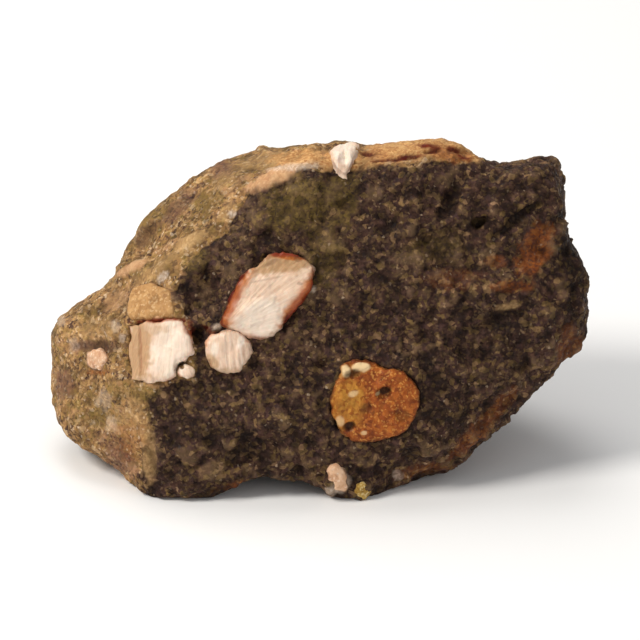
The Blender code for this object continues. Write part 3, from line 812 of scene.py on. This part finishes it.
# Colour marks of the amygdales, by the name of the layer that their materials read. Iron is where the
# rim of a white one is stained
FILLING_MARKS = {
    "iron": (
        Mark(237, 298, 32, 12, 64), Mark(301, 301, 32, 12, 55), Mark(290, 253, 22, 6, 0),
        Mark(211, 337, 14, 7, 45, 0.6), Mark(189, 330, 12, 9, 60, 0.8), Mark(165, 318, 24, 5, 0, 0.6),
        Mark(176, 378, 14, 4, 30, 0.5), Mark(250, 338, 20, 5, -10, 0.35),
    ),
    "tan": (
        Mark(280, 262, 38, 13, 6, 1.0), Mark(222, 324, 7, 6, 0, 0.8), Mark(212, 362, 8, 8, 0, 0.8),
        Mark(138, 350, 15, 36, 0, 0.95), Mark(145, 328, 22, 8, 0, 0.6), Mark(229, 372, 14, 6, 0, 0.5),
    ),
    "cream": (
        # The narrow cream marks at pixels (216, 350) and (242, 341) are painted highlights on the round
        # amygdale
        Mark(262, 318, 24, 18, 30, 0.9), Mark(281, 263, 10, 6, 20, 0.9), Mark(216, 350, 3.5, 7, 0, 1.0),
        Mark(242, 341, 4, 8, -20, 1.0), Mark(172, 350, 20, 30, 0, 0.8), Mark(345, 153, 12, 12, 0, 1.0),
        Mark(148, 296, 4, 8, 20, 0.8), Mark(333, 480, 5, 9, 0, 0.7),
    ),
    "red": (
        Mark(288, 253, 14, 2.5, 4, 1.0), Mark(205, 333, 6, 4, 40, 0.8), Mark(190, 328, 5, 8, 25, 0.7),
        Mark(235, 302, 4, 22, -22, 0.6), Mark(302, 298, 4, 22, -35, 0.7), Mark(140, 345, 1.5, 26, 2, 0.35),
        Mark(157, 320, 28, 2.5, 3, 0.7),
    ),
    # The dark marks at pixels (183, 366), (383, 391), (349, 426), (352, 372) and (370, 410) lie on pits
    # that FILLING_CUTS presses in, and are painted shade in them
    "dark": (
        Mark(272, 262, 9, 3, 30, 0.6), Mark(266, 280, 16, 1.2, 12, 0.35), Mark(299, 258, 5, 3, 0, 0.5),
        Mark(183, 366, 2, 2, 0, 1.0), Mark(383, 391, 6, 4, 20, 1.0), Mark(349, 426, 5, 4, 20, 0.9),
        Mark(352, 372, 7, 3, 20, 0.6), Mark(370, 410, 5, 4, 0, 0.3), Mark(300, 284, 3, 1.5, 0, 0.5),
    ),
    "gold": (
        Mark(348, 402, 16, 24, 0, 1.0), Mark(352, 371, 16, 6, 10, 0.8), Mark(338, 425, 8, 8, 0, 0.8),
    ),
    "pale": (
        Mark(346, 371, 4, 5, 0, 1.0), Mark(360, 367, 8, 4, 0, 1.0), Mark(377, 393, 2, 2, 0, 1.0),
        Mark(353, 393, 5, 3, 20, 0.6), Mark(340, 420, 4, 5, 0, 0.5), Mark(364, 432, 3, 2, 0, 0.6),
    ),
}

# Steps and hollows of the amygdales. The strength is the depth in millimetres, negative for a lump
FILLING_CUTS = {
    "long_white_amygdale": (
        Mark(282, 264, 36, 11, 6, 0.55), Mark(292, 262, 8, 4, 20, 0.25), Mark(250, 292, 22, 3, 62, 0.15),
    ),
    "fibrous_white_amygdale": (
        Mark(136, 352, 12, 34, 0, 0.5), Mark(140, 350, 1.5, 26, 2, 0.3), Mark(183, 366, 7, 7, 0, 0.5),
    ),
    "white_grain_amygdale": (Mark(183, 366, 2.5, 2.5, 0, 0.6),),
    "round_white_amygdale": (Mark(229, 352, 2, 18, 4, 0.12), Mark(236, 356, 1.5, 16, 8, 0.12)),
    "orange_amygdale": (
        Mark(383, 392, 7, 5, 20, 0.9), Mark(349, 426, 6, 4, 20, 0.8), Mark(352, 374, 9, 4, 20, 0.4),
        Mark(366, 408, 7, 5, 30, 0.3), Mark(400, 415, 8, 6, 0, 0.3), Mark(346, 369, 5, 4, 0, -0.5),
        Mark(361, 366, 8, 4, 0, -0.4), Mark(340, 402, 5, 12, 0, -0.3),
    ),
}

# The way that a filling faces, in the broad face's frame, where it isn't set in that face
SIDE_FACINGS = {
    "crest_white_amygdale": (-0.05, 0.95, 0.31),
    "back_white_amygdale": (0.05, 0.45, -0.89),
    "back_orange_amygdale": (0.05, 0.45, -0.89),
    "side_white_amygdale": (0.6, 0.25, -0.76),
}


# How many streaks, coarse and fine, a millimetre holds across the fibres, along them and into the piece
STREAKS = (2.4, 0.22, 0.9)
FINE_STREAKS = (6.0, 0.5, 2.0)


def white_material(node):
    """A white or pinkish zeolite: silky fibres, and a rim darkened with painted shadow, orange and red
    where iron stains it.
    """
    make = Recipe(node + "_silky")
    streak = make.noise(make.place("fibres", STREAKS), 1.0, detail=5, roughness=0.65)
    fine = make.noise(make.place("fibres", FINE_STREAKS), 1.0)
    cloudy = make.noise(make.place(warp=0.15), 2.2)

    base = make.ramp(streak, (
        (0.25, colour(212, 170, 140)), (0.40, colour(234, 200, 172)), (0.56, colour(244, 214, 188)),
        (0.72, colour(252, 232, 212)),
    ))
    base = make.mix(make.layer("cream", 0.75), base, colour(254, 238, 220))
    tan = make.mix(streak, colour(150, 106, 66), colour(224, 184, 138))
    base = make.mix(make.layer("tan"), base, tan)
    base = make.mix(make.ramp(cloudy, ((0.45, 0.0), (0.75, 0.25))), base, colour(226, 180, 148))

    inward = make.maths("ADD", make.layer("rim"), make.maths("MULTIPLY", cloudy, 0.9))
    inward = make.maths("MULTIPLY", inward, 0.5)
    # The brownish band just inside the rim is a painted shadow; the iron stain is laid over it
    rim_shadow = make.ramp(inward, ((0.2, 0.55), (0.38, 0.0)))
    base = make.mix(rim_shadow, base, colour(120, 74, 48))
    stained = make.ramp(inward, ((0.35, 1.0), (0.6, 0.85), (1.0, 0.0)))
    stained = make.maths("MULTIPLY", stained, make.layer("iron"))
    base = make.mix(stained, base, make.mix(fine, colour(160, 74, 14), colour(214, 126, 38)))
    rusted = make.ramp(inward, ((0.25, 1.0), (0.5, 0.0)))
    rusted = make.maths("MULTIPLY", rusted, make.layer("iron"))
    base = make.mix(rusted, base, colour(92, 24, 10))
    base = make.mix(make.layer("red", 0.8), base, colour(150, 60, 30))
    base = make.mix(make.layer("dark", 0.7), base, colour(92, 62, 40))
    base = make.shaded(base, make.ramp(fine, ((0.3, 0.86), (0.7, 1.0))))

    ribbed = make.maths("ADD", streak, make.maths("MULTIPLY", fine, 0.5))
    normal = make.bump(ribbed, depth=0.07, strength=0.8)
    roughness = make.ramp(streak, ((0.3, 0.5), (0.7, 0.3)))
    return make.finish(
        base, roughness, normal, IOR=1.5, Specular_IOR_Level=0.3,
        Subsurface_Weight=0.1, Subsurface_Scale=0.0008,
    )


def granular_material(node, low, middle, high, spot):
    """A mineral that crystallised in small grains, with painted shade darkening the hollows between them.
    """
    make = Recipe(node + "_granular")
    where = make.place(warp=0.2)
    coarse = make.grains(where, 0.7)
    fine = make.grains(where, 0.33)
    cloudy = make.noise(where, 2.4, detail=4, roughness=0.65)

    base = make.ramp(cloudy, ((0.3, low), (0.5, middle), (0.72, high)))
    grain = make.ramp(coarse.tone, ((0.0, low), (0.5, middle), (1.0, high)))
    base = make.mix(0.45, base, grain)
    base = make.mix(make.ramp(fine.tone, ((0.8, 0.0), (0.95, 0.6))), base, spot)
    gold = make.mix(coarse.tint, colour(150, 88, 26), colour(206, 150, 60))
    base = make.mix(make.layer("gold", 0.65), base, gold)
    base = make.mix(make.layer("pale"), base, colour(238, 206, 156))
    base = make.mix(make.layer("dark", 0.85), base, colour(52, 26, 14))
    # Painted shade in the hollows
    base = make.shaded(base, make.ramp(make.layer("hollow_shade"), ((0.0, 1.0), (1.0, 0.55))))
    inward = make.maths("ADD", make.layer("rim"), make.maths("MULTIPLY", cloudy, 0.6))
    base = make.mix(make.ramp(inward, ((0.25, 0.8), (0.7, 0.0))), base, colour(64, 34, 20))

    gritty = make.maths("ADD", cloudy, make.maths("MULTIPLY", coarse.tone, 0.5))
    normal = make.bump(gritty, depth=0.2, strength=0.9)
    roughness = make.ramp(fine.tint, ((0.0, 0.4), (1.0, 0.85)))
    return make.finish(base, roughness, normal, IOR=1.5, Specular_IOR_Level=0.2)


def orange_material(node):
    return granular_material(
        node, colour(96, 42, 18), colour(150, 74, 28), colour(196, 116, 46), colour(214, 150, 74)
    )


def tan_material(node):
    return granular_material(
        node, colour(150, 106, 62), colour(186, 140, 88), colour(206, 162, 108), colour(222, 186, 138)
    )


def pink_material(node):
    return granular_material(
        node, colour(190, 138, 104), colour(216, 170, 132), colour(232, 196, 164), colour(244, 220, 196)
    )


def yellow_material(node):
    return granular_material(
        node, colour(120, 86, 30), colour(176, 136, 60), colour(214, 182, 106), colour(240, 222, 170)
    )


FILLINGS = {
    "long_white_amygdale": Filling(0.2, 0.38, (214, 338), 1.5, white_material),
    "round_white_amygdale": Filling(0.16, 0.32, (226, 250), 0.4, white_material),
    "fibrous_white_amygdale": Filling(0.18, 0.36, (190, 180), 0.3, white_material),
    "tan_amygdale": Filling(0.18, 0.36, (160, 180), 0.5, tan_material),
    "white_grain_amygdale": Filling(0.1, 0.3, (180, 340), 0.3, white_material),
    "pink_amygdale": Filling(0.12, 0.32, (97, 300), 0.4, pink_material),
    "orange_amygdale": Filling(0.2, 0.36, (370, 300), 0.9, orange_material),
    "crest_white_amygdale": Filling(0.16, 0.34, (330, 230), 0.3, white_material),
    "foot_white_amygdale": Filling(0.12, 0.32, (330, 430), 0.3, pink_material),
    "foot_yellow_amygdale": Filling(0.1, 0.3, (363, 440), 0.4, yellow_material),
    "back_white_amygdale": Filling(0.16, 0.34, (250, 150), 0.6, white_material),
    "back_orange_amygdale": Filling(0.16, 0.34, (400, 250), 0.8, orange_material),
    "side_white_amygdale": Filling(0.14, 0.34, (560, 200), 0.5, white_material),
}


# Floor, light and camera, in metres
FLOOR_SIZE = 6
FLOOR_WHITE = 0.97
FLOOR_ROUGHNESS = 0.9
WORLD_STRENGTH = 0.42

# A round lamp that looks at the stone: its place, diameter, power in watts and colour
Lamp = namedtuple("Lamp", "place size power tint")
LAMPS = {
    "key": Lamp((-0.50, -0.20, 0.60), 0.30, 4.2, (1.0, 0.96, 0.90)),
    "fill": Lamp((0.55, -0.6, 0.35), 0.5, 0.5, (1.0, 1.0, 1.0)),
    "top": Lamp((-0.1, 0.35, 0.7), 0.5, 2.0, (1.0, 0.98, 0.95)),
}

# The lens and its sensor are in millimetres
CAMERA_DISTANCE = 1.015
CAMERA_LENS = 300.8
CAMERA_SENSOR = 36
CAMERA_REACH = 20


def add_floor():
    bpy.ops.mesh.primitive_grid_add(x_subdivisions=1, y_subdivisions=1, size=FLOOR_SIZE)
    floor = bpy.context.object
    floor.name = "floor"
    make = Recipe("floor_paper")
    make.skin.inputs["Base Color"].default_value = (FLOOR_WHITE, FLOOR_WHITE, FLOOR_WHITE, 1)
    make.skin.inputs["Roughness"].default_value = FLOOR_ROUGHNESS
    floor.data.materials.append(make.material)


def add_light(aim):
    world = bpy.data.worlds.new("studio")
    world.use_nodes = True
    background = world.node_tree.nodes["Background"]
    background.inputs["Color"].default_value = (1, 1, 1, 1)
    background.inputs["Strength"].default_value = WORLD_STRENGTH
    bpy.context.scene.world = world
    for name, lamp in LAMPS.items():
        light = bpy.data.lights.new(name, "AREA")
        light.shape = "DISK"
        light.size = lamp.size
        light.energy = lamp.power
        light.color = lamp.tint
        hung = bpy.data.objects.new(name, light)
        hung.location = lamp.place
        hung.rotation_euler = (aim - hung.location).to_track_quat("-Z", "Y").to_euler()
        bpy.context.scene.collection.objects.link(hung)


def add_camera(aim):
    lens = bpy.data.cameras.new("camera")
    lens.lens = CAMERA_LENS
    lens.sensor_width = CAMERA_SENSOR
    lens.clip_end = CAMERA_REACH
    camera = bpy.data.objects.new("camera", lens)
    back = Vector(FACE_OUTWARD)
    camera.location = aim + back * CAMERA_DISTANCE
    camera.rotation_euler = (-back).to_track_quat("-Z", "Y").to_euler()
    bpy.context.scene.collection.objects.link(camera)
    bpy.context.scene.camera = camera
    bpy.context.scene.view_settings.view_transform = "Standard"


def set_stage():
    aim = Vector(FACE_MIDDLE) * MM
    add_floor()
    add_light(aim)
    add_camera(aim)


dress_rock()
dress_fillings()
set_stage()
